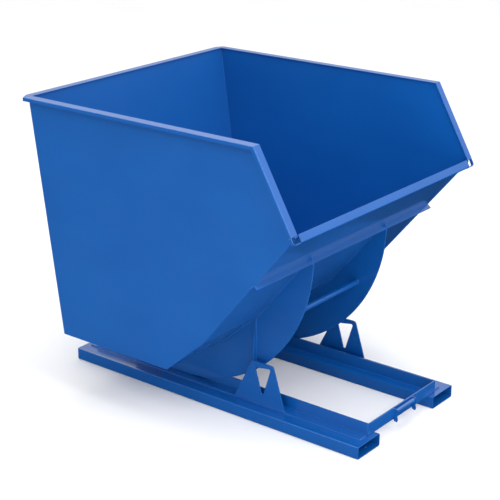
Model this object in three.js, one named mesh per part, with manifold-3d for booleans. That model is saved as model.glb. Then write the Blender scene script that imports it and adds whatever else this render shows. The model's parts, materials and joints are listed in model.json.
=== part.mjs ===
// Self-dumping tipping hopper: a welded steel bin on two quarter-round rockers, standing on a
// fork-pocket base with angle guide rails, and held level by a sprung latch hook at the back.
// Millimetres, +Z up, +X towards the dumping lip, origin on the ground at the middle of the base.
import * as THREE from 'three';
import { mergeVertices } from 'three/addons/utils/BufferGeometryUtils.js';
import Module from 'manifold-3d';

const wasm = await Module();
wasm.setup();

// ---- driving dimensions ----
const GAP = 0.3;                      // between pieces that meet
const SHEET = 5;                      // bin sheet
const PLATE = 8;                      // base plates, bars and angles

const BASE_LENGTH = 2030;
const TUBE = { width: 204, height: 72, wall: 5, y: 372, corner: 8 };
const TUBE_HOLE = { radius: 6, fromEnd: 42, halfSpacing: 36 };
const RAIL = { inner: 328, width: 71, height: 70, end: 977 };
const GUARD = { x: 308, bottom: 344, top: 144, height: 246, lean: 23, round: 14 };
const GUARD_WINDOW = [[279, 288, 9], [330, 118, 9], [388, 306, 9]];   // (x, z, corner radius)

const HALF_WIDTH = 820;               // outer faces of the side plates
const BIN = {                         // side outline, (x, z) corners
  floorBack: [-761, 352], floorFront: [7, 352], toe: [262, 571],
  lip: [856, 1286], topFront: [622, 1700], topBack: [-947, 1700],
};
// rim angle: reach outwards and inwards of the wall's outer face, depth of the turned-down leg, bend radius
const RIM = { out: 36, in: 14, turn: 22, sheet: 5, bend: 7 };
const RIM_CORNER = { side: 6, back: 15 };       // how far the clipped back corner cuts into each rim
const LIP = { in: 9, half: 797 };
const STRAP_ROUND = 20;

const ROLL_RADIUS = 902;              // rocker edge
const ROLL_CENTRE_X = -277;           // straight above the rocker's lowest point
const ROCKER = { outer: 351.5, plate: 10, back: -640, rib: 26, nose: 550, noseDrop: 36 };
const RIB = { x: 250, head: 552, headWidth: 8, straight: 120, cut: 6, lift: 8 };
const TIE_PLATE = { x: -600, bottom: 200 };

const CROSS_TUBE = { x: 436, z: 598, radius: 16, wall: 3 };
const STIFFENER = { along: 530, leg: 30, plate: 5 };

const SLEEVE = { half: 84, radius: 13.5, bore: 9.5, z: 122 };
const EAR = { y: 92, plate: 8 };

// latch: its pivot, and the catch bar on the bin that its hook holds down
const LATCH = { pivotX: -775, pivotZ: 136, barX: -735, barZ: 300, barRadius: 10 };
const LATCH_BAR_X = -640;             // back face of the crossbar that carries the latch
const SHELF = { top: 114, half: 70 };
const LATCH_EAR = { inner: 14, outer: 22, foot: 34, head: 20, rise: 22, round: 14 };
const PIN = { radius: 8, head: 13, bore: 8.6 };
const HOOK_HALF = 7;                  // half the hook plate's thickness
const HANDLE_OUTER = 13;              // outer face of the handle bar, which lies against the hook
const SPRING = { from: -748, to: -668, z: 206, radius: 8, wire: 1.6, turns: 9, stepsPerTurn: 8 };
const POST = { radius: 6, past: 9, above: 14 };      // past the spring's end, and above its axis
const LUG = { y: 44, plate: 8, bar: 10 };            // bar: how far the catch bar stands out of each lug

const railTop = TUBE.height + GAP + PLATE;
const rollCentreZ = railTop + GAP + ROLL_RADIUS;
const barTop = TUBE.height + GAP + RAIL.height;

// ---- finishes ----
const bluePaint = new THREE.MeshStandardMaterial({ color: 0x1f5fb0, roughness: 0.35, metalness: 0.0 });
const innerPaint = new THREE.MeshStandardMaterial({ color: 0x1a4f9e, roughness: 0.4, metalness: 0.0 });
const zincSteel = new THREE.MeshStandardMaterial({ color: 0x9a9ea3, roughness: 0.4, metalness: 0.9 });
const gripVinyl = new THREE.MeshStandardMaterial({ color: 0x1b1b1d, roughness: 0.6, metalness: 0.0 });

const hopper = new THREE.Group();
const sides = [['right', -1], ['left', 1]];

// ---- helpers ----
function add(name, geometry, material = bluePaint) {
  const mesh = new THREE.Mesh(geometry, material);
  mesh.name = name;
  hopper.add(mesh);
  return mesh;
}

// an outline that runs anticlockwise, so that holes drawn anticlockwise are cut cleanly
function closedShape(points) {
  return new THREE.Shape(THREE.ShapeUtils.isClockWise(points) ? points.reverse() : points);
}

function shapeOf(points) {
  return closedShape(points.map(([a, b]) => new THREE.Vector2(a, b)));
}

// a shape whose corners are rounded; each corner is [a, b] or [a, b, radius]
function roundedShape(corners, steps = 4) {
  const out = [];
  corners.forEach(([a, b, radius = 0], i) => {
    const here = new THREE.Vector2(a, b);
    if (radius === 0) {
      out.push(here);
      return;
    }
    const before = corners[(i + corners.length - 1) % corners.length];
    const after = corners[(i + 1) % corners.length];
    const toBefore = new THREE.Vector2(before[0], before[1]).sub(here).normalize();
    const toAfter = new THREE.Vector2(after[0], after[1]).sub(here).normalize();
    const half = Math.acos(toBefore.dot(toAfter)) / 2;
    const start = here.clone().addScaledVector(toBefore, radius / Math.tan(half));
    const end = here.clone().addScaledVector(toAfter, radius / Math.tan(half));
    const middle = toBefore.clone().add(toAfter).normalize();
    const centre = here.clone().addScaledVector(middle, radius / Math.sin(half));
    const from = Math.atan2(start.y - centre.y, start.x - centre.x);
    let sweep = Math.atan2(end.y - centre.y, end.x - centre.x) - from;
    if (sweep > Math.PI) sweep -= 2 * Math.PI;
    if (sweep < -Math.PI) sweep += 2 * Math.PI;
    for (let k = 0; k <= steps; k += 1) {
      const t = from + (sweep * k) / steps;
      out.push(new THREE.Vector2(centre.x + radius * Math.cos(t), centre.y + radius * Math.sin(t)));
    }
  });
  return closedShape(out);
}

function circlePath(x, y, radius, steps = 24) {
  const points = [];
  for (let k = 0; k < steps; k += 1) {
    const t = (2 * Math.PI * k) / steps;
    points.push(new THREE.Vector2(x + radius * Math.cos(t), y + radius * Math.sin(t)));
  }
  return new THREE.Path(points);
}

function prism(shape, depth) {
  return new THREE.ExtrudeGeometry(shape, { depth, bevelEnabled: false, curveSegments: 8 });
}

// shape drawn in (y, z), running from x0 to x1
function alongX(shape, x0, x1) {
  const basis = new THREE.Matrix4().set(0, 0, 1, x0, 1, 0, 0, 0, 0, 1, 0, 0, 0, 0, 0, 1);
  return prism(shape, x1 - x0).applyMatrix4(basis);
}

// shape drawn in (x, z), running from y0 to y1
function alongY(shape, y0, y1) {
  const basis = new THREE.Matrix4().set(1, 0, 0, 0, 0, 0, -1, y1, 0, 1, 0, 0, 0, 0, 0, 1);
  return prism(shape, y1 - y0).applyMatrix4(basis);
}

// shape drawn in (x, y), running from z0 to z1
function alongZ(shape, z0, z1) {
  return prism(shape, z1 - z0).translate(0, 0, z0);
}

function box(x0, x1, y0, y1, z0, z1) {
  return alongZ(shapeOf([[x0, y0], [x1, y0], [x1, y1], [x0, y1]]), z0, z1);
}

function welded(geometry) {
  const bare = geometry.clone();
  bare.deleteAttribute('normal');
  bare.deleteAttribute('uv');
  return mergeVertices(bare, 1e-4);
}

function toSolid(geometry) {
  const merged = welded(geometry);
  return new wasm.Manifold(new wasm.Mesh({
    numProp: 3,
    vertProperties: new Float32Array(merged.attributes.position.array),
    triVerts: new Uint32Array(merged.index.array),
  }));
}

function fromSolid(solid) {
  const mesh = solid.getMesh();
  const geometry = new THREE.BufferGeometry();
  geometry.setAttribute('position', new THREE.BufferAttribute(mesh.vertProperties, 3));
  geometry.setIndex(new THREE.BufferAttribute(mesh.triVerts, 1));
  return geometry;
}

function cut(geometry, ...tools) {
  return fromSolid(tools.reduce((solid, tool) => solid.subtract(toSolid(tool)), toSolid(geometry)));
}

// where the lines through two edges of an outline meet
function meet([p, d], [q, e]) {
  const t = ((q[0] - p[0]) * e[1] - (q[1] - p[1]) * e[0]) / (d[0] * e[1] - d[1] * e[0]);
  return [p[0] + d[0] * t, p[1] + d[1] * t];
}

// an anticlockwise outline with edge i (from corner i to i + 1) moved inwards by insets[i]
function insetOutline(points, insets) {
  const lines = points.map((p, i) => {
    const q = points[(i + 1) % points.length];
    const length = Math.hypot(q[0] - p[0], q[1] - p[1]);
    const d = [(q[0] - p[0]) / length, (q[1] - p[1]) / length];
    return [[p[0] - d[1] * insets[i], p[1] + d[0] * insets[i]], d];
  });
  return points.map((_, i) => meet(lines[(i + points.length - 1) % points.length], lines[i]));
}

// a closed section swept along straight runs: each station maps a section point (u, v) to a place
function sweep(section, stations) {
  const rings = stations.map((station) => section.map(([u, v]) => station(u, v)));
  const n = section.length;
  const positions = rings.flat().flatMap((p) => [p.x, p.y, p.z]);
  const index = [];
  for (let r = 0; r + 1 < rings.length; r += 1) {
    for (let k = 0; k < n; k += 1) {
      const a = r * n + k;
      const b = r * n + ((k + 1) % n);
      index.push(a, b, b + n, a, b + n, a + n);
    }
  }
  const caps = THREE.ShapeUtils.triangulateShape(section.map(([u, v]) => new THREE.Vector2(u, v)), []);
  const last = (rings.length - 1) * n;
  caps.forEach(([a, b, c]) => index.push(a, c, b, last + a, last + b, last + c));
  const geometry = new THREE.BufferGeometry();
  geometry.setAttribute('position', new THREE.Float32BufferAttribute(positions, 3));
  geometry.setIndex(index);
  return geometry;
}

// turns the faces of a swept piece outwards when its section ran the other way round
function facingOut(geometry) {
  const index = geometry.index.array;
  const at = (i) => new THREE.Vector3().fromBufferAttribute(geometry.attributes.position, index[i]);
  let volume = 0;
  for (let i = 0; i < index.length; i += 3) volume += at(i).dot(at(i + 1).cross(at(i + 2)));
  if (volume > 0) return geometry;
  for (let i = 0; i < index.length; i += 3) [index[i], index[i + 1]] = [index[i + 1], index[i]];
  return geometry;
}

// ---- base ----
function forkTube(side) {
  const { width, height, wall, y, corner } = TUBE;
  const ring = (inset, radius) => {
    const a = y - width / 2 + inset;
    const b = y + width / 2 - inset;
    return [[a, inset, radius], [b, inset, radius], [b, height - inset, radius], [a, height - inset, radius]]
      .map(([across, up, r]) => [side * across, up, r]);
  };
  const shape = roundedShape(ring(0, corner));
  shape.holes.push(new THREE.Path(roundedShape(ring(wall, corner - wall)).getPoints()));
  const holes = [-1, 1].map((k) => alongZ(
    new THREE.Shape(circlePath(BASE_LENGTH / 2 - TUBE_HOLE.fromEnd, side * y + k * TUBE_HOLE.halfSpacing,
      TUBE_HOLE.radius, 12).getPoints()), -wall, 2 * wall));
  return cut(alongX(shape, -BASE_LENGTH / 2, BASE_LENGTH / 2), ...holes);
}

function guideRail(side) {
  const z = TUBE.height + GAP;
  const outer = RAIL.inner + RAIL.width;
  const web = RAIL.inner + PLATE;
  const corners = [[RAIL.inner, z], [outer, z], [outer, z + PLATE], [web, z + PLATE, 2],
    [web, z + RAIL.height], [RAIL.inner, z + RAIL.height]];
  return alongX(roundedShape(corners.map(([y, up, r]) => [side * y, up, r]), 3), -RAIL.end, RAIL.end);
}

function crossbar(x0, halfLength) {
  return box(x0, x0 + PLATE, -halfLength, halfLength, TUBE.height + GAP, barTop);
}

// upright plate on the rail's outer edge that keeps the rocker from walking off sideways
function rockerGuard(side) {
  const z = railTop + GAP;
  const { x, bottom, top, height, lean, round } = GUARD;
  const half = bottom / 2;
  const outline = roundedShape([
    [x - half, z], [x + half, z], [x + lean + top / 2, height + z, round], [x + lean - top / 2, height + z, round],
  ]);
  outline.holes.push(new THREE.Path(roundedShape(GUARD_WINDOW, 5).getPoints()));
  const outer = side * (RAIL.inner + RAIL.width);
  return alongY(outline, Math.min(outer, outer - side * PLATE), Math.max(outer, outer - side * PLATE));
}

sides.forEach(([word, side]) => {
  add(`fork_tube_${word}`, forkTube(side));
  add(`guide_rail_${word}`, guideRail(side));
  add(`rocker_guard_${word}`, rockerGuard(side));
});
const frontBarX = RAIL.end + GAP;
const barHalf = RAIL.inner + PLATE + 2;
add('front_crossbar', crossbar(frontBarX, barHalf));
add('rear_crossbar', crossbar(-RAIL.end - GAP - PLATE, barHalf));
add('latch_crossbar', crossbar(LATCH_BAR_X, RAIL.inner - GAP));

// tie point on the front crossbar: a sleeve between two hooked ears
function earShape() {
  const x = frontBarX + PLATE + GAP;
  return roundedShape([[x, barTop - 4], [x, 84], [x + 6, 66], [x + 24, 62, 4], [x + 27, 76, 4],
    [x + 21, 100], [x + 28, 118, 4], [x + 26, barTop - 4, 8]], 3);
}

function sleeve() {
  const x = frontBarX + PLATE + GAP + SLEEVE.radius + 0.4;
  const ring = new THREE.Shape(circlePath(x, SLEEVE.z, SLEEVE.radius).getPoints());
  ring.holes.push(circlePath(x, SLEEVE.z, SLEEVE.bore));
  return alongY(ring, -SLEEVE.half, SLEEVE.half);
}

add('tie_sleeve', sleeve());
sides.forEach(([word, side]) => {
  const y = side * EAR.y;
  add(`tie_ear_${word}`, alongY(earShape(), y - EAR.plate / 2, y + EAR.plate / 2));
});

// ---- bin ----
const outline = [BIN.floorBack, BIN.floorFront, BIN.toe, BIN.lip, BIN.topFront, BIN.topBack];
const inner = insetOutline(outline, [SHEET, SHEET, SHEET, 0, 0, SHEET]);
const underRim = insetOutline(outline, [0, 0, 0, RIM.sheet + GAP, RIM.sheet + GAP, 0]);
const innerUnderRim = insetOutline(outline, [SHEET, SHEET, SHEET, RIM.sheet + GAP, RIM.sheet + GAP, SHEET]);

function toward([a, b], [c, d], distance) {
  const length = Math.hypot(c - a, d - b);
  return [a + ((c - a) * distance) / length, b + ((d - b) * distance) / length];
}

function trough(outerLine, innerLine) {
  const shape = shapeOf([...outerLine, ...innerLine.slice().reverse()]);
  const half = HALF_WIDTH - SHEET - GAP;
  return alongY(shape, -half, half);
}

sides.forEach(([word, side]) => {
  const outer = side * HALF_WIDTH;
  const inside = side * (HALF_WIDTH - SHEET);
  add(`side_plate_${word}`, alongY(shapeOf(underRim), Math.min(outer, inside), Math.max(outer, inside)));
});
add('floor_sheet', trough(
  [toward(outline[0], outline[1], GAP), outline[1], toward(outline[2], outline[1], GAP)],
  [toward(inner[0], inner[1], GAP), inner[1], toward(inner[2], inner[1], GAP)],
), innerPaint);
add('chute_sheet', trough([outline[2], underRim[3]], [inner[2], innerUnderRim[3]]), innerPaint);
add('back_sheet', trough([underRim[5], outline[0]], [innerUnderRim[5], inner[0]]), innerPaint);

// rims: a flange outwards from the mouth with its outer edge turned down
const place = ([x, z], y) => new THREE.Vector3(x, y, z);
const unit = ([a, b], [c, d]) => new THREE.Vector3(c - a, 0, d - b).normalize();
const topRun = unit(BIN.topBack, BIN.topFront);
const frontRun = unit(BIN.topFront, BIN.lip);
const topUp = new THREE.Vector3(-topRun.z, 0, topRun.x);
const frontUp = new THREE.Vector3(-frontRun.z, 0, frontRun.x);
const bendUp = topUp.clone().add(frontUp).divideScalar(1 + topUp.dot(frontUp));

// section of the rim angle: u outwards from the wall's outer face, v above the mouth
function rimSection(inwards) {
  const { out, turn, sheet, bend } = RIM;
  const arc = (radius, from, to) => [0, 1, 2, 3].map((k) => {
    const t = from + ((to - from) * k) / 3;
    return [out - bend + radius * Math.cos(t), -bend + radius * Math.sin(t)];
  });
  const right = Math.PI / 2;
  return [[-inwards, -sheet], ...arc(bend - sheet, right, 0), [out - sheet, -turn], [out, -turn],
    ...arc(bend, 0, right), [-inwards, 0]];
}

// places a section point: outwards and inwards of the wall it may run along different directions
function station(origin, outward, up, inward = outward) {
  return (u, v) => origin.clone()
    .addScaledVector(u < 0 ? inward : outward, u)
    .addScaledVector(up, v);
}

// the clipped corner where a side rim and the back rim meet, as steps from the bin's back corner:
// the mitre line between the rims, then where the clip ends on each rim
function backCorner(side) {
  const corner = place(BIN.topBack, side * HALF_WIDTH);
  const across = new THREE.Vector3(0, side, 0);
  const back = topRun.clone().negate();
  const { out } = RIM;
  const clipSide = corner.clone().addScaledVector(across, out).addScaledVector(back, RIM_CORNER.side);
  const clipBack = corner.clone().addScaledVector(back, out).addScaledVector(across, -RIM_CORNER.back);
  const middle = clipSide.clone().add(clipBack).divideScalar(2);
  return { corner, across, back, clipSide, clipBack, middle };
}

function mitreStation(side, shift) {
  const { corner, across, back, middle } = backCorner(side);
  const outward = middle.clone().sub(corner).divideScalar(RIM.out);
  return station(corner.clone().add(shift), outward, topUp, across.clone().add(back));
}

function sideRim(side) {
  const { corner, across, back, clipSide } = backCorner(side);
  const start = corner.clone().addScaledVector(back, -RIM.in - SHEET);
  const skew = clipSide.clone().sub(start).divideScalar(RIM.out);
  const wall = side * HALF_WIDTH;
  const lipEnd = place(BIN.lip, wall).addScaledVector(frontRun, -SHEET - GAP);
  return facingOut(sweep(rimSection(RIM.in), [
    mitreStation(side, topRun.clone().multiplyScalar(GAP)),
    station(start, skew, topUp, across),
    station(place(BIN.topFront, wall), across, bendUp),
    station(lipEnd, across, frontUp),
  ]));
}

function backRim() {
  const ends = [-1, 1].map((side) => {
    const { corner, across, back, clipBack } = backCorner(side);
    const start = corner.clone().addScaledVector(across, -RIM_CORNER.back - RIM.in);
    const skew = clipBack.clone().sub(start).divideScalar(RIM.out);
    return [mitreStation(side, across.clone().multiplyScalar(-GAP)), station(start, skew, topUp, back)];
  });
  return facingOut(sweep(rimSection(RIM.in), [...ends[0], ...ends[1].reverse()]));
}

function lipRim() {
  return facingOut(sweep(rimSection(LIP.in), [-1, 1].map((side) => station(
    place(BIN.lip, side * LIP.half), frontRun, frontUp))));
}

sides.forEach(([word, side]) => add(`side_rim_${word}`, sideRim(side)));
add('back_rim', backRim());
add('lip_rim', lipRim());

// rounded strap that carries the turned-down leg round the open notch at each lip corner
function cornerStrap(side) {
  const { out, turn, sheet, bend } = RIM;
  const inner = LIP.half - HALF_WIDTH + GAP;
  const back = -SHEET;
  const band = roundedShape([[inner, out - sheet], [out - sheet, out - sheet, STRAP_ROUND - sheet],
    [out - sheet, back], [out, back], [out, out, STRAP_ROUND], [inner, out]], 5);
  const geometry = prism(band, turn - bend / 2);
  const across = new THREE.Vector3(0, side, 0);
  const down = frontUp.clone().negate();
  const origin = place(BIN.lip, side * HALF_WIDTH).addScaledVector(down, bend / 2);
  const basis = new THREE.Matrix4().makeBasis(across, frontRun, down).setPosition(origin);
  geometry.applyMatrix4(basis);
  return facingOut(welded(geometry));
}

sides.forEach(([word, side]) => add(`lip_corner_strap_${word}`, cornerStrap(side)));

// ---- rockers ----
const rockerInside = ROCKER.outer - ROCKER.plate;

function rockerShape() {
  const hug = insetOutline(outline, [-GAP, -GAP, -GAP, 0, 0, -GAP]);
  const chuteTop = toward(hug[2], hug[3], ROCKER.nose);
  const points = [[ROCKER.back, rollCentreZ - ROLL_RADIUS]];
  const steps = 44;
  const last = Math.asin((chuteTop[1] - ROCKER.noseDrop - rollCentreZ) / ROLL_RADIUS);
  for (let k = 0; k <= steps; k += 1) {
    const t = -Math.PI / 2 + ((last + Math.PI / 2) * k) / steps;
    points.push([ROLL_CENTRE_X + ROLL_RADIUS * Math.cos(t), rollCentreZ + ROLL_RADIUS * Math.sin(t)]);
  }
  points.push(chuteTop, hug[2], hug[1], [ROCKER.back - 70, hug[1][1]]);
  return shapeOf(points);
}

function rocker(side) {
  const outer = side * ROCKER.outer;
  const inside = side * rockerInside;
  return alongY(rockerShape(), Math.min(outer, inside), Math.max(outer, inside));
}

function rockerRib(side) {
  const { x, head, headWidth, straight, cut: footCut, lift } = RIB;
  const from = ROCKER.outer + GAP;
  const out = from + ROCKER.rib;
  const foot = rollCentreZ - Math.sqrt(ROLL_RADIUS ** 2 - (x - ROLL_CENTRE_X) ** 2) + lift;
  const shape = shapeOf([[from, foot], [out, foot + footCut], [out, foot + straight],
    [from + headWidth, head], [from, head]].map(([y, z]) => [side * y, z]));
  return alongX(shape, x - PLATE / 2, x + PLATE / 2);
}

function crossTube() {
  const { x, z, radius, wall } = CROSS_TUBE;
  const ring = new THREE.Shape(circlePath(x, z, radius).getPoints());
  ring.holes.push(circlePath(x, z, radius - wall));
  return alongY(ring, GAP - rockerInside, rockerInside - GAP);
}

function tiePlate() {
  const { x, bottom } = TIE_PLATE;
  return box(x, x + PLATE, GAP - rockerInside, rockerInside - GAP, bottom, BIN.floorBack[1] - GAP);
}

sides.forEach(([word, side]) => {
  add(`rocker_${word}`, rocker(side));
  add(`rocker_rib_${word}`, rockerRib(side));
});
add('rocker_cross_tube', crossTube());
add('rocker_tie_plate', tiePlate());

// angle bar across the underside of the chute, in three lengths between the rockers
function stiffener(y0, y1) {
  const along = unit(BIN.toe, BIN.lip);
  const down = new THREE.Vector3(along.z, 0, -along.x);
  const origin = place(toward(BIN.toe, BIN.lip, STIFFENER.along), 0);
  const { leg, plate } = STIFFENER;
  const section = [[0, GAP], [0, leg], [-plate, leg], [-plate, GAP + plate], [-leg, GAP + plate], [-leg, GAP]];
  return facingOut(sweep(section, [y0, y1].map((y) => station(
    origin.clone().setY(y), along, down))));
}

add('chute_stiffener_right', stiffener(-HALF_WIDTH, -ROCKER.outer - GAP));
add('chute_stiffener_middle', stiffener(-rockerInside + GAP, rockerInside - GAP));
add('chute_stiffener_left', stiffener(ROCKER.outer + GAP, HALF_WIDTH));

// ---- latch ----
add('latch_shelf', box(-RAIL.end, LATCH_BAR_X - GAP, -SHELF.half, SHELF.half, SHELF.top - PLATE, SHELF.top));

function latchEar(y0, y1) {
  const { pivotX, pivotZ } = LATCH;
  const { foot, head, rise, round } = LATCH_EAR;
  const bottom = SHELF.top + GAP;
  const shape = roundedShape([[pivotX - foot, bottom], [pivotX + foot, bottom],
    [pivotX + head, pivotZ + rise, round], [pivotX - head, pivotZ + rise, round]], 4);
  shape.holes.push(circlePath(pivotX, pivotZ, PIN.bore));
  return alongY(shape, y0, y1);
}

add('latch_ear_right', latchEar(-LATCH_EAR.outer, -LATCH_EAR.inner));
add('latch_ear_left', latchEar(LATCH_EAR.inner, LATCH_EAR.outer));

function turned(profile, steps = 24) {
  return new THREE.LatheGeometry(profile.map(([r, y]) => new THREE.Vector2(r, y)), steps);
}

// headed pin along Y: its tip stands well out of the far ear, and its head bears on the near one
function pivotPin() {
  const { radius, head } = PIN;
  const tip = -LATCH_EAR.outer - 16;
  const under = LATCH_EAR.outer + 1;
  const pin = turned([[0, tip], [radius - 1.5, tip], [radius, tip + 1.5], [radius, under], [head, under],
    [head, under + 7], [head - 2, under + 9], [0, under + 9]]);
  return pin.translate(LATCH.pivotX, 0, LATCH.pivotZ);
}

add('latch_pin', pivotPin(), zincSteel);

function latchHook() {
  const { pivotX, pivotZ, barX, barZ, barRadius } = LATCH;
  const stemBack = barX - barRadius - 32;
  const stemFront = barX - barRadius - 4;
  const noseUnder = barZ + barRadius + 3;
  const shape = roundedShape([
    [pivotX + 4, pivotZ - 18, 10], [pivotX + 19, pivotZ, 8], [stemFront, barZ - 70], [stemFront, noseUnder, 3],
    [barX + 9, noseUnder, 3], [barX + 12, noseUnder + 7, 3], [stemFront - 4, noseUnder + 27, 8],
    [stemBack, noseUnder + 10, 8], [stemBack, pivotZ + 60], [pivotX - 30, pivotZ + 24, 6],
    [pivotX - 18, pivotZ - 14, 8],
  ], 3);
  shape.holes.push(circlePath(pivotX, pivotZ, PIN.bore));
  return alongY(shape, -HOOK_HALF, HOOK_HALF);
}

add('latch_hook', latchHook());

// flat handle bar beside the hook, running back over the rear crossbar
function handleBar() {
  const { pivotX, pivotZ } = LATCH;
  const shape = roundedShape([[pivotX - 4, pivotZ + 38], [pivotX - 2, pivotZ + 62, 4], [-905, 246, 20],
    [-1005, 268, 4], [-1008, 246, 4], [-912, 222, 20]], 4);
  return alongY(shape, HOOK_HALF + GAP, HANDLE_OUTER);
}

add('latch_handle', handleBar());

// dipped grip over the handle's end, hollow where the bar runs in it
function handleGrip() {
  const grip = alongY(roundedShape([[-1013, 240, 5], [-930, 218, 5], [-924, 257, 5], [-1010, 278, 5]], 3), 2, 18);
  const socket = alongY(shapeOf([[-1009, 244], [-900, 215], [-893, 247], [-1006, 271]]),
    HOOK_HALF, HANDLE_OUTER + GAP);
  return cut(grip, socket);
}

add('handle_grip', handleGrip(), gripVinyl);

function coilSpring() {
  const { from, to, z, radius, wire, turns, stepsPerTurn } = SPRING;
  const points = [];
  const steps = turns * stepsPerTurn;
  for (let k = 0; k <= steps; k += 1) {
    const t = (2 * Math.PI * k) / stepsPerTurn;
    points.push(new THREE.Vector3(from + ((to - from) * k) / steps, radius * Math.cos(t), z + radius * Math.sin(t)));
  }
  const section = new THREE.Shape(circlePath(0, 0, wire, 6).getPoints());
  return new THREE.ExtrudeGeometry(section, { extrudePath: new THREE.CatmullRomCurve3(points), steps });
}

add('latch_spring', coilSpring(), zincSteel);
add('spring_post', alongZ(new THREE.Shape(circlePath(SPRING.to + POST.past, 0, POST.radius).getPoints()),
  SHELF.top + GAP, SPRING.z + POST.above));

// catch on the bin: a round bar between two lugs under the back of the floor
const floorUnder = BIN.floorBack[1] - GAP;

function catchLug(y) {
  const { barX, barZ } = LATCH;
  const shape = roundedShape([[barX - 22, floorUnder], [barX - 18, barZ - 14, 12], [barX + 18, barZ - 14, 12],
    [barX + 46, floorUnder]], 4);
  shape.holes.push(circlePath(barX, barZ, LATCH.barRadius + 0.4));
  return alongY(shape, y - LUG.plate / 2, y + LUG.plate / 2);
}

add('catch_bar', alongY(new THREE.Shape(circlePath(LATCH.barX, LATCH.barZ, LATCH.barRadius).getPoints()),
  -LUG.y - LUG.bar, LUG.y + LUG.bar));
sides.forEach(([word, side]) => add(`catch_lug_${word}`, catchLug(side * LUG.y)));

export default hopper;
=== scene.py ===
"""Self-dumping hopper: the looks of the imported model. Every piece is a finished copy of a part in the
frame, with its edges eased, and rippled weld beads lie where the plates meet. Metres throughout."""
import json
from math import cos, pi, radians, sin

import bmesh
import bpy
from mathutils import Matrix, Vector
from mathutils.bvhtree import BVHTree


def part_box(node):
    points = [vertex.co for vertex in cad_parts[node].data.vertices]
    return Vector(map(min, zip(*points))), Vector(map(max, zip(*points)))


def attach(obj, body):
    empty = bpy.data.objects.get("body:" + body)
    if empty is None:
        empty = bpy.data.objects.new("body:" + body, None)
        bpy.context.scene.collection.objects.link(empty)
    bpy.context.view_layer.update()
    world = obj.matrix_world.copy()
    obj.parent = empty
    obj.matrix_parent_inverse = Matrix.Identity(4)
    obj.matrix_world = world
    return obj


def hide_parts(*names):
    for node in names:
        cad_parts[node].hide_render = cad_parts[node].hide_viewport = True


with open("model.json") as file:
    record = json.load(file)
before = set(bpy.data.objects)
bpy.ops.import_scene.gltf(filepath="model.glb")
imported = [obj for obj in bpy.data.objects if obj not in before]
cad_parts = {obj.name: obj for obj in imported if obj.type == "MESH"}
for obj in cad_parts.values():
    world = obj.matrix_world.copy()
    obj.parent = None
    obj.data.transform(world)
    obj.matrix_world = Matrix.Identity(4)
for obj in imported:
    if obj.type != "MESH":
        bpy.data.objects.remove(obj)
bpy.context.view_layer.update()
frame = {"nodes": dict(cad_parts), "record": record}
nodes = frame["nodes"]
bodies = frame["record"]["behaviour"]["bodies"]
body_of = {node: body for body, members in bodies.items() for node in members}
slot_of = {part["node"]: part["material_slot"] for part in frame["record"]["subparts"]}

# camera
EYE = (4.463, -5.755, 3.459)
EYE_DOWN = 20.108                     # degrees below the horizon
EYE_ROUND = 38.219                    # degrees round from looking along +Y
LENS = 98.54                          # mm, on a sensor 36 mm wide

# soft boxes: name, place, the point each faces, width and height, watts
SOFT_BOXES = (
    ("key", (2.5, -5.5, 6.5), (0.0, 0.0, 0.7), (3.0, 3.0), 120.0),
    ("front", (4.8, -0.8, 4.6), (-0.4, 0.1, 0.9), (2.5, 2.5), 170.0),
    ("top", (-0.5, 0.5, 7.0), (0.0, 0.0, 1.0), (4.0, 4.0), 130.0),
    ("fill", (2.4, -6.0, 0.9), (0.3, -0.2, 0.2), (4.0, 1.5), 55.0),
)
SKY = 1.30                            # how bright the surroundings are where they only light the object
FLOOR_REACH = 160.0                   # half the floor's side: far enough to fill every view
FLOOR_DROP = 0.0005                   # the floor lies this far under the tubes

# how a faceted part is made whole: points closer than MERGE are one, faces within FLAT are one plane
MERGE = 1e-5
FLAT = radians(1.0)
CORNER = radians(26.0)                # edges sharper than this are rounded over
CREASE = radians(35.0)                # and edges sharper than this still show as edges
EASE_STEPS = 3

# how far the edges of each part are rounded over; the longest name that a node starts with holds
EASED = {
    "fork_tube": 0.0022, "guide_rail": 0.0026, "rocker_guard": 0.0022, "front_crossbar": 0.0028,
    "rear_crossbar": 0.0028, "latch_crossbar": 0.0028, "tie_sleeve": 0.0016, "tie_ear": 0.0022,
    "side_plate": 0.0020, "floor_sheet": 0.0016, "chute_sheet": 0.0016, "back_sheet": 0.0016,
    "side_rim": 0.0022, "back_rim": 0.0022, "lip_rim": 0.0022, "lip_corner_strap": 0.0018,
    "rocker": 0.0030, "rocker_rib": 0.0026, "rocker_cross_tube": 0.0010, "rocker_tie_plate": 0.0024,
    "chute_stiffener": 0.0020, "latch_shelf": 0.0020, "latch_ear": 0.0020, "latch_pin": 0.0008,
    "spring_post": 0.0018, "latch_hook": 0.0020, "latch_handle": 0.0014, "handle_grip": 0.0022,
    "catch_bar": 0.0018, "catch_lug": 0.0020,
}

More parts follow.
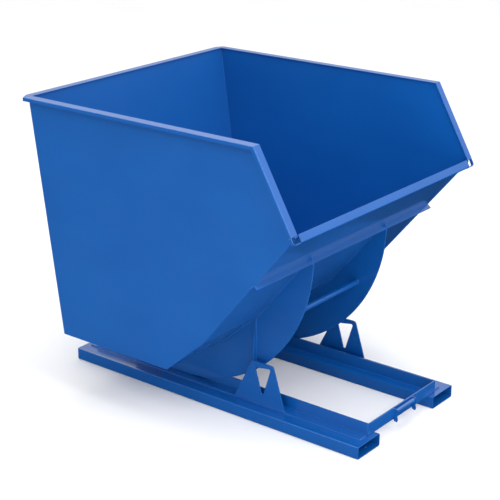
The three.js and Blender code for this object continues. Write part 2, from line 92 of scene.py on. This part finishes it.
# weld beads: the part whose edges carry the bead, the part it is welded to, and the bead's radius.
# SIDE stands for right and left.
WELDS = (
    ("guide_rail_SIDE", "fork_tube_SIDE", 0.0030),
    ("rocker_guard_SIDE", "guide_rail_SIDE", 0.0030),
    ("guide_rail_SIDE", "front_crossbar", 0.0030),
    ("guide_rail_SIDE", "rear_crossbar", 0.0030),
    ("latch_crossbar", "guide_rail_SIDE", 0.0030),
    ("tie_ear_SIDE", "front_crossbar", 0.0025),
    ("latch_shelf", "latch_crossbar", 0.0025),
    ("latch_ear_SIDE", "latch_shelf", 0.0025),
    ("floor_sheet", "side_plate_SIDE", 0.0026),
    ("chute_sheet", "side_plate_SIDE", 0.0026),
    ("back_sheet", "side_plate_SIDE", 0.0026),
    ("rocker_SIDE", "floor_sheet", 0.0034),
    ("rocker_SIDE", "chute_sheet", 0.0034),
    ("rocker_rib_SIDE", "rocker_SIDE", 0.0030),
    ("rocker_tie_plate", "rocker_SIDE", 0.0030),
    ("rocker_cross_tube", "rocker_SIDE", 0.0028),
    ("chute_stiffener_SIDE", "chute_sheet", 0.0028),
    ("chute_stiffener_middle", "chute_sheet", 0.0028),
    ("chute_stiffener_SIDE", "side_plate_SIDE", 0.0028),
    ("chute_stiffener_SIDE", "rocker_SIDE", 0.0028),
    ("chute_stiffener_middle", "rocker_SIDE", 0.0028),
    ("catch_lug_SIDE", "floor_sheet", 0.0025),
    ("lip_corner_strap_SIDE", "side_rim_SIDE", 0.0022),
    ("lip_corner_strap_SIDE", "lip_rim", 0.0022),
)
SEAM_REACH = 0.0007                   # an edge this near another part is welded to it
SEAM_STEP = 0.006                     # how closely an edge is searched for its seam
SEAM_SHARP = radians(30.0)            # only edges sharper than this carry a bead
SEAM_SHORTEST = 0.004
BEAD_STEP = 0.0026                    # a quarter of the way from ripple to ripple
BEAD_SIDES = 7
BEAD_TIP = 0.45                       # how thin a bead's ends are, against its middle

# latch spring wire
WIRE = 0.0016
TURNS = 9
STEPS_PER_TURN = 28
WIRE_SIDES = 10


# ---- shader writing ----
class Wire:
    """A shader socket, with the arithmetic that adds Math nodes."""

    def __init__(self, sheet, socket):
        self.sheet = sheet
        self.socket = socket

    def calc(self, operation, first, second):
        return self.sheet.node("ShaderNodeMath", {"operation": operation}, {0: first, 1: second})

    def __add__(self, other):
        return self.calc("ADD", self, other)

    def __sub__(self, other):
        return self.calc("SUBTRACT", self, other)

    def __rsub__(self, other):
        return self.calc("SUBTRACT", other, self)

    def __mul__(self, other):
        return self.calc("MULTIPLY", self, other)

    __radd__ = __add__
    __rmul__ = __mul__

    def between(self, low, high, to_low=0.0, to_high=1.0, curve="SMOOTHSTEP"):
        """Rescaled from low..high to to_low..to_high, and held at the ends."""
        inputs = {"Value": self, "From Min": low, "From Max": high, "To Min": to_low, "To Max": to_high}
        return self.sheet.node("ShaderNodeMapRange", {"interpolation_type": curve}, inputs)


class Sheet:
    """A node tree under construction: its nodes are made by one method."""

    def __init__(self, owner):
        owner.use_nodes = True
        self.owner = owner
        self.tree = owner.node_tree
        self.tree.nodes.clear()

    def node(self, kind, settings=None, inputs=None, output=0):
        """Adds a node: settings first, then values or wires into its sockets. Gives one output, by its
        name or by its place among those in use."""
        made = self.tree.nodes.new(kind)
        for key, value in (settings or {}).items():
            setattr(made, key, value)
        for key, value in (inputs or {}).items():
            socket = made.inputs[key] if isinstance(key, int) else self.in_use(made.inputs)[key]
            if isinstance(value, Wire):
                self.tree.links.new(value.socket, socket)
            else:
                socket.default_value = value
        outputs = self.in_use(made.outputs)
        if not outputs:
            return None
        return Wire(self, list(outputs.values())[output] if isinstance(output, int) else outputs[output])

    @staticmethod
    def in_use(sockets):
        return {socket.name: socket for socket in sockets if socket.enabled}


class Finish(Sheet):
    """A material, with the few patterns that the hopper's finishes are made of."""

    def __init__(self, name):
        super().__init__(bpy.data.materials.new(name))

    def place(self):
        """Where a point is on the part at rest."""
        return self.node("ShaderNodeTexCoord", output="Object")

    def stretched(self, sizes):
        """The place, stretched so that a pattern on it comes out longer along some axes."""
        return self.node("ShaderNodeMapping", None, {"Vector": self.place(), "Scale": sizes})

    def noise(self, scale, detail=2.0, roughness=0.5, at=None):
        inputs = {"Vector": at or self.place(), "Scale": scale, "Detail": detail, "Roughness": roughness}
        return self.node("ShaderNodeTexNoise", None, inputs)

    def mix(self, amount, first, second):
        inputs = {"Factor": amount, "A": first, "B": second}
        return self.node("ShaderNodeMix", {"data_type": "RGBA"}, inputs)

    def bump(self, height, depth, **under):
        """Relief of a depth; Normal= lays it over another relief."""
        inputs = {"Height": height, "Distance": depth, "Strength": 1.0, **under}
        return self.node("ShaderNodeBump", None, inputs)

    def surface(self, **sockets):
        """Finishes the material. An underscore in a name stands for a space."""
        inputs = {name.replace("_", " "): value for name, value in sockets.items()}
        shader = self.node("ShaderNodeBsdfPrincipled", None, inputs)
        self.node("ShaderNodeOutputMaterial", None, {"Surface": shader})
        return self.owner


# ---- finishes ----
def enamel(name, thin, full, pooled, gloss, peel):
    """Sprayed enamel on plate: its shade drifts with the thickness of the coat, dust and light scuffs
    break it up, and the gloss has orange peel over the faint waviness of rolled plate."""
    f = Finish(name)
    drift = f.noise(2.2, detail=3.0).between(0.35, 0.65)
    sweep = f.noise(1.0, at=f.stretched((1.5, 1.5, 6.0))).between(0.3, 0.7)
    colour = f.mix(drift * 0.4, full, thin)
    colour = f.mix(sweep * 0.25, colour, pooled)
    dust = f.noise(900.0, detail=1.0).between(0.66, 0.78)
    colour = f.mix(dust * 0.05, colour, (0.06, 0.22, 0.55, 1.0))
    haze = f.noise(6.0, detail=4.0)
    scratches = f.noise(55.0, detail=5.0, roughness=0.65, at=f.stretched((1.0, 1.0, 0.35)))
    scuffs = scratches.between(0.60, 0.74)
    waviness = f.noise(26.0)
    orange_peel = f.noise(420.0, detail=1.0)
    relief = f.bump(orange_peel * peel, 0.00012, Normal=f.bump(waviness, 0.0006))
    return f.surface(
        Base_Color=colour,
        Roughness=haze * 0.10 + scuffs * 0.10 + (gloss - 0.05),
        Normal=relief,
        Specular_IOR_Level=0.32,
        Coat_Weight=0.85,
        Coat_Roughness=0.10,
    )


def blue_enamel():
    return enamel(
        "blue_enamel",
        thin=(0.0030, 0.099, 0.374, 1.0),
        full=(0.0022, 0.084, 0.335, 1.0),
        pooled=(0.0016, 0.070, 0.293, 1.0),
        gloss=0.34,
        peel=0.5,
    )


def inside_enamel_painted_lighter():
    """The same blue on the floor, chute and back sheets, its colour painted lighter to stand for the brighter
    light that falls inside the bin: a drier coat, with more orange peel.
    """
    return enamel(
        "inside_enamel_painted_lighter",
        thin=(0.0070, 0.101, 0.372, 1.0),
        full=(0.0052, 0.090, 0.345, 1.0),
        pooled=(0.0040, 0.078, 0.308, 1.0),
        gloss=0.38,
        peel=0.7,
    )


def bead_enamel():
    """Enamel over a weld bead, uneven where it gathers on the ripples."""
    f = Finish("bead_enamel")
    grain = f.noise(160.0, detail=3.0)
    patches = grain.between(0.35, 0.65)
    return f.surface(
        Base_Color=f.mix(patches, (0.008, 0.085, 0.350, 1.0), (0.012, 0.115, 0.430, 1.0)),
        Roughness=grain * 0.15 + 0.28,
        Normal=f.bump(grain, 0.0012),
        Specular_IOR_Level=0.32,
        Coat_Weight=0.3,
        Coat_Roughness=0.1,
    )


def zinc_plate():
    """Bright zinc: blue-white metal with faint spangle and fine turning lines."""
    f = Finish("zinc_plate")
    spangle = f.node("ShaderNodeTexVoronoi", None, {"Vector": f.place(), "Scale": 420.0}, output="Color")
    tint = f.noise(60.0, detail=3.0).between(0.3, 0.7)
    lines = f.noise(900.0, at=f.stretched((1.0, 6.0, 1.0)))
    metal = f.mix(tint, (0.58, 0.60, 0.62, 1.0), (0.70, 0.71, 0.70, 1.0))
    return f.surface(
        Base_Color=f.mix(0.12, metal, spangle),
        Metallic=1.0,
        Roughness=lines * 0.2 + 0.25,
        Normal=f.bump(lines, 0.0002),
    )


def dipped_vinyl():
    """Thick black vinyl with a fine pebble and a few rubbed places."""
    f = Finish("dipped_vinyl")
    pebble = f.noise(1400.0)
    rubbed = f.noise(70.0, detail=4.0).between(0.55, 0.75)
    return f.surface(
        Base_Color=f.mix(rubbed * 0.6, (0.012, 0.012, 0.013, 1.0), (0.045, 0.045, 0.048, 1.0)),
        Roughness=0.62 - rubbed * 0.2,
        Normal=f.bump(pebble, 0.0004),
    )


def pale_floor():
    """Plain pale studio floor with the slightest unevenness of tone."""
    f = Finish("pale_floor")
    tone = f.noise(0.6).between(0.2, 0.8)
    return f.surface(
        Base_Color=f.mix(tone, (0.90, 0.905, 0.91, 1.0), (0.93, 0.93, 0.93, 1.0)),
        Roughness=0.9,
        Specular_IOR_Level=0.05,
    )


finishes = {
    "blue_paint": blue_enamel(),
    # the inside blue is the outside paint painted lighter, as painted light for the bin's brighter interior
    "blue_paint_inside": inside_enamel_painted_lighter(),
    "zinc_steel": zinc_plate(),
    "grip_vinyl": dipped_vinyl(),
}
bead_finish = bead_enamel()


# ---- pieces ----
def link(mesh, name, material, body):
    piece = bpy.data.objects.new(name, mesh)
    bpy.context.scene.collection.objects.link(piece)
    mesh.materials.clear()
    mesh.materials.append(material)
    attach(piece, body)
    return piece


def made_whole(node):
    """A part's mesh, with the triangles of each flat face joined into one face."""
    shape = bmesh.new()
    shape.from_mesh(nodes[node].data)
    bmesh.ops.remove_doubles(shape, verts=shape.verts, dist=MERGE)
    bmesh.ops.dissolve_limit(shape, angle_limit=FLAT, verts=shape.verts, edges=shape.edges)
    return shape


def mesh_of(shape, name):
    mesh = bpy.data.meshes.new(name)
    shape.to_mesh(mesh)
    shape.free()
    return mesh


def run_modifier(piece, kind, **settings):
    """Adds a modifier, and makes its result the piece's own mesh."""
    modifier = piece.modifiers.new(kind.lower(), kind)
    for key, value in settings.items():
        setattr(modifier, key, value)
    bpy.context.view_layer.update()
    evaluated = piece.evaluated_get(bpy.context.evaluated_depsgraph_get())
    result = bpy.data.meshes.new_from_object(evaluated)
    piece.modifiers.clear()
    piece.data = result


def eased_part(node, width):
    """A part with its edges rounded over, standing for the frame's own."""
    name = node + "_finished"
    slot = slot_of[node]
    piece = link(mesh_of(made_whole(node), name), name, finishes[slot], body_of[node])
    run_modifier(piece, "BEVEL", width=width, segments=EASE_STEPS, limit_method="ANGLE",
                 angle_limit=CORNER, harden_normals=False, miter_outer="MITER_ARC")
    piece.data.shade_smooth()
    piece.data.set_sharp_from_angle(angle=CREASE)
    run_modifier(piece, "WEIGHTED_NORMAL", keep_sharp=True)
    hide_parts(node)


def ease_parts():
    """Every part but the spring, which is wound anew."""
    for node in sorted(nodes):
        if node != "latch_spring":
            longest = max((name for name in EASED if node.startswith(name)), key=len)
            eased_part(node, EASED[longest])


def ring(shape, centre, radius, across, upward, sides):
    """Points round a centre, in the plane of two directions."""
    angles = [2.0 * pi * side / sides for side in range(sides)]
    return [shape.verts.new(centre + radius * (cos(a) * across + sin(a) * upward)) for a in angles]


def skin(shape, rings):
    """Joins rings of points into a closed round bar."""
    for low, high in zip(rings, rings[1:]):
        for k in range(len(low)):
            shape.faces.new((low[k], low[k - 1], high[k - 1], high[k]))
    shape.faces.new(rings[0])
    shape.faces.new(list(reversed(rings[-1])))


def smooth_mesh(shape, name):
    bmesh.ops.recalc_face_normals(shape, faces=shape.faces)
    mesh = mesh_of(shape, name)
    mesh.shade_smooth()
    return mesh


def seam_runs(node, against):
    """The stretches of a part's sharp edges that lie on another part, each as its points in order."""
    shape = made_whole(node)
    other = bmesh.new()
    other.from_mesh(nodes[against].data)
    surface = BVHTree.FromBMesh(other)
    runs = []
    for edge in shape.edges:
        if edge.calc_face_angle(0.0) < SEAM_SHARP:
            continue
        start, end = (corner.co for corner in edge.verts)
        steps = max(3, int((end - start).length / SEAM_STEP))
        run = []
        for k in range(steps + 1):
            point = start.lerp(end, k / steps)
            if surface.find_nearest(point, SEAM_REACH)[0] is not None:
                run.append(point)
                continue
            runs.append(run)
            run = []
        runs.append(run)
    shape.free()
    other.free()
    return [run for run in runs if len(run) > 1 and (run[-1] - run[0]).length > SEAM_SHORTEST]


def lay_bead(shape, start, end, size):
    """One straight bead: it swells with each pass of the torch, a little unevenly, and tapers at both ends."""
    along = (end - start).normalized()
    across = along.orthogonal().normalized()
    upward = along.cross(across)
    steps = max(4, int((end - start).length / BEAD_STEP))
    rings = []
    for k in range(steps + 1):
        ripple = 0.14 * cos(k * pi * 0.5)
        drift = 0.07 * sin(k * 0.37 + start.x * 40.0)
        taper = BEAD_TIP if k in (0, steps) else 1.0
        radius = size * (1.0 + ripple + drift) * taper
        rings.append(ring(shape, start.lerp(end, k / steps), radius, across, upward, BEAD_SIDES))
    skin(shape, rings)


def weld(node, against, size):
    """Beads along every edge where one part meets another."""
    shape = bmesh.new()
    for run in seam_runs(node, against):
        lay_bead(shape, run[0], run[-1], size)
    name = "weld_" + node + "_to_" + against
    link(smooth_mesh(shape, name), name, bead_finish, body_of[node])


def sided(*names):
    """The names for the right and for the left, or the names alone where they have no side."""
    if not any("SIDE" in name for name in names):
        return [names]
    return [[name.replace("SIDE", side) for name in names] for side in ("right", "left")]


def lay_welds():
    for first, second, size in WELDS:
        for node, against in sided(first, second):
            weld(node, against, size)


def coil_spring():
    """The latch spring, wound from smooth round wire between the ends of the frame's own."""
    lo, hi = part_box("latch_spring")
    coil = (hi.z - lo.z) / 2 - WIRE
    start = Vector((lo.x + WIRE, (lo.y + hi.y) / 2, (lo.z + hi.z) / 2))
    lengthwise = Vector((1.0, 0.0, 0.0))
    length = hi.x - lo.x - 2 * WIRE
    steps = TURNS * STEPS_PER_TURN
    shape = bmesh.new()
    rings = []
    for k in range(steps + 1):
        turn = 2 * pi * TURNS * k / steps
        outward = Vector((0.0, cos(turn), sin(turn)))
        centre = start + lengthwise * (length * k / steps) + outward * coil
        rings.append(ring(shape, centre, WIRE, outward, lengthwise, WIRE_SIDES))
    skin(shape, rings)
    mesh = smooth_mesh(shape, "coil_spring")
    piece = link(mesh, "coil_spring", finishes["zinc_steel"], body_of["latch_spring"])
    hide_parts("latch_spring")


# ---- studio ----
def studio_floor():
    r = FLOOR_REACH
    mesh = bpy.data.meshes.new("studio_floor")
    mesh.from_pydata([(-r, -r, 0), (r, -r, 0), (r, r, 0), (-r, r, 0)], [], [(0, 1, 2, 3)])
    mesh.materials.append(pale_floor())
    floor = bpy.data.objects.new("studio_floor", mesh)
    bpy.context.scene.collection.objects.link(floor)
    floor.location.z = -FLOOR_DROP
    floor.visible_glossy = False


def studio_sky():
    """Even white surroundings. Mirrored in the paint they are bright overhead and dark below the horizon,
    as if the hopper stood in a light tent on a dull floor, so the upright plates keep their deep colour."""
    world = bpy.data.worlds.new("studio_sky")
    f = Sheet(world)
    direction = f.node("ShaderNodeTexCoord", output="Generated")
    height = f.node("ShaderNodeSeparateXYZ", None, {"Vector": direction}, output="Z")
    tent_wall = height.between(0.02, 0.30, 0.0, 1.05, curve="LINEAR")
    tent_roof = height.between(0.50, 0.85, 0.0, 4.0, curve="LINEAR")
    mirrored = f.node("ShaderNodeLightPath", output="Is Glossy Ray")
    strength = mirrored * (tent_wall + tent_roof - SKY) + SKY
    sky = f.node("ShaderNodeBackground", None, {"Strength": strength})
    f.node("ShaderNodeOutputWorld", None, {"Surface": sky})
    bpy.context.scene.world = world


def soft_box(name, place, aim, size, watts):
    lamp = bpy.data.lights.new(name, "AREA")
    lamp.shape = "RECTANGLE"
    lamp.size, lamp.size_y = size
    lamp.energy = watts
    light = bpy.data.objects.new(name, lamp)
    bpy.context.scene.collection.objects.link(light)
    light.location = place
    light.rotation_euler = (Vector(aim) - Vector(place)).to_track_quat("-Z", "Y").to_euler()


def camera():
    lens = bpy.data.cameras.new("camera")
    lens.lens = LENS
    lens.sensor_width = 36.0
    lens.clip_end = 500.0
    eye = bpy.data.objects.new("camera", lens)
    bpy.context.scene.collection.objects.link(eye)
    eye.location = EYE
    eye.rotation_euler = (radians(90.0 - EYE_DOWN), 0.0, radians(EYE_ROUND))
    bpy.context.scene.camera = eye


camera()
studio_floor()
studio_sky()
for box in SOFT_BOXES:
    soft_box(*box)
ease_parts()
coil_spring()
lay_welds()

bpy.context.scene.view_settings.view_transform = "Standard"
